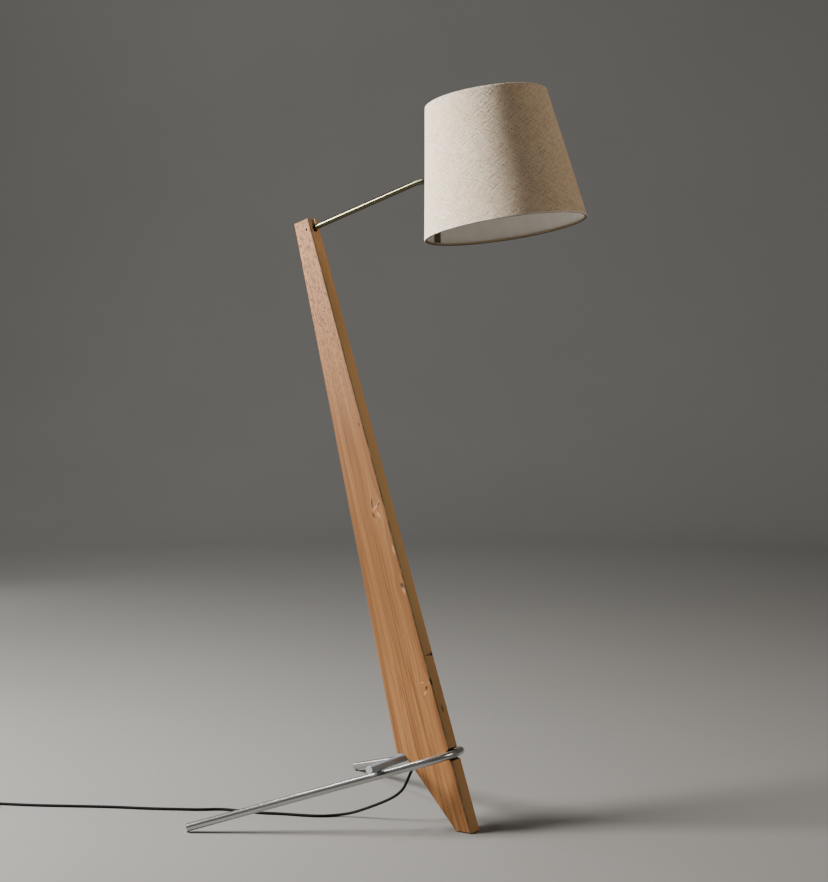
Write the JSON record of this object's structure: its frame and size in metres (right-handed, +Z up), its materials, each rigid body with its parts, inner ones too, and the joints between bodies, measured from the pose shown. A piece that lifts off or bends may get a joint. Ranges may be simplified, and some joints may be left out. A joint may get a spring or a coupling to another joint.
{
  "type": "adjustable arm floor lamp",
  "caption": "Floor lamp with a leaning tapered timber post on a bent steel rod base, a tilting brass arm and a tilting conical linen shade.",
  "frame": {"origin": "on the floor, under the middle of the lamp's length and width without its cord", "axes": "+Z up, +X towards the shade, +Y to the left of someone looking along +X"},
  "size_m": [1.4645, 0.8428, 1.6664],
  "materials": {
    "timber": "clear matt oil on softwood",
    "timber_cover": "clear matt oil",
    "satin_rod": "satin brushed",
    "brass": "aged satin brass",
    "bronze": "dark bronze",
    "dark_steel": "blackened",
    "nylon": "matt",
    "black_rubber": "matt",
    "black_plastic": "fine matt",
    "cable_black": "matt",
    "linen": "plain weave, heathered",
    "white_liner": "matt white laminate",
    "white_wire": "white enamel",
    "ceramic": "glazed white",
    "aluminium": "plain",
    "glass": "frosted"
  },
  "bodies": {
    "stand": {"post": "timber", "cable_cover": "timber_cover", "post_cable": "cable_black", "pivot_pin": "dark_steel", "pivot_washers": "nylon", "base_frame": "satin_rod", "crossbar": "satin_rod", "crossbar_screws": "dark_steel", "post_screws": "dark_steel", "foot_pads": "black_rubber", "toe_pad": "black_rubber", "cord_gland": "black_plastic", "strain_relief": "black_rubber", "cord": "cable_black", "cord_coil": "cable_black", "cord_tail": "cable_black", "plug_body": "black_plastic", "plug_blades": "brass"},
    "arm": {"arm_tube": "brass", "arm_pivot_plug": "brass", "arm_shade_plug": "brass", "arm_cable": "cable_black"},
    "head": {"shade_fabric": "linen", "shade_liner": "white_liner", "bottom_ring": "white_wire", "top_ring": "white_wire", "shade_strap": "bronze", "strap_rivets": "bronze", "tilt_bolt": "dark_steel", "tilt_nut": "dark_steel", "tilt_washers": "nylon", "holder_bracket": "bronze", "bracket_screws": "dark_steel", "holder_nipple": "brass", "holder_nut": "brass", "holder_cap": "black_plastic", "holder_shell": "black_plastic", "holder_insert": "ceramic", "socket_contact": "brass", "switch_body": "black_plastic", "head_cable": "cable_black", "bulb_cap": "aluminium", "bulb_glass": "glass"},
    "switch": {"switch_knob": "black_plastic"}
  },
  "joints": [
    {"name": "arm_tilt", "type": "hinge", "parent": "stand", "child": "arm", "pos_m": [-0.3015, 0, 1.365], "axis": [0, -1, 0], "range_deg": [-10, 45]},
    {"name": "shade_tilt", "type": "hinge", "parent": "arm", "child": "head", "pos_m": [0.058, 0, 1.4639], "axis": [0, -1, 0], "range_deg": [-35, 20]},
    {"name": "switch_turn", "type": "hinge", "parent": "head", "child": "switch", "pos_m": [0.20917, -0.03, 1.4518], "axis": [0, -1, 0], "continuous": true}
  ]
}
